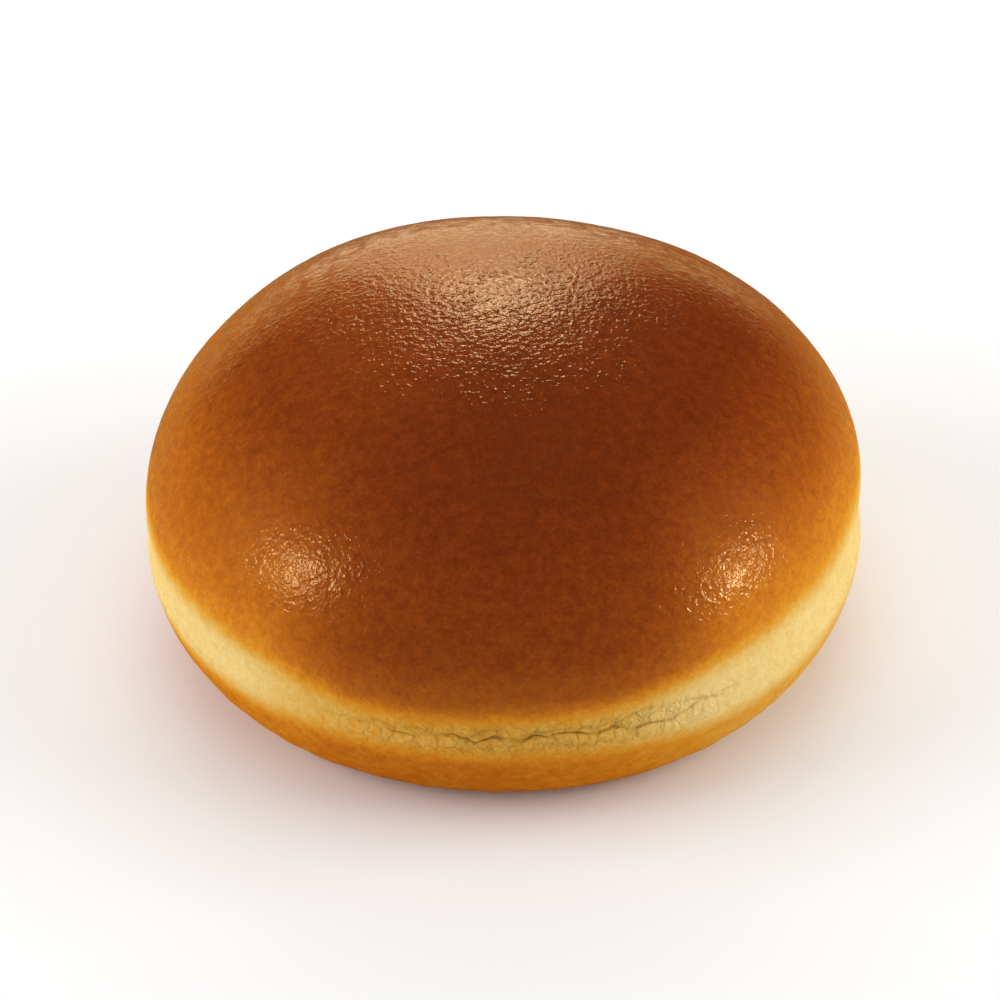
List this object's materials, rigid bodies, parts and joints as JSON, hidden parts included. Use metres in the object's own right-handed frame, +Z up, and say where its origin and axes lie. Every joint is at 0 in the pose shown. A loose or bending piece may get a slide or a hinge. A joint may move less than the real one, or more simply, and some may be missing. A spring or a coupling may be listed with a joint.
{
  "type": "bread roll",
  "caption": "Soft round bread roll, uncut, with a glossy dark domed crust over a pale creased waist, a golden lower rim and a flat foot.",
  "frame": {"origin": "on the table under the middle of the roll, at the centre of the flat foot", "axes": "+Z up, the roll's shortest extent; -Y towards the front, the side whose waist has split open most"},
  "size_m": [0.102, 0.1018, 0.0542],
  "materials": {
    "crust": "satin"
  },
  "bodies": {
    "root": {"bread_roll": "crust"}
  },
  "joints": []
}
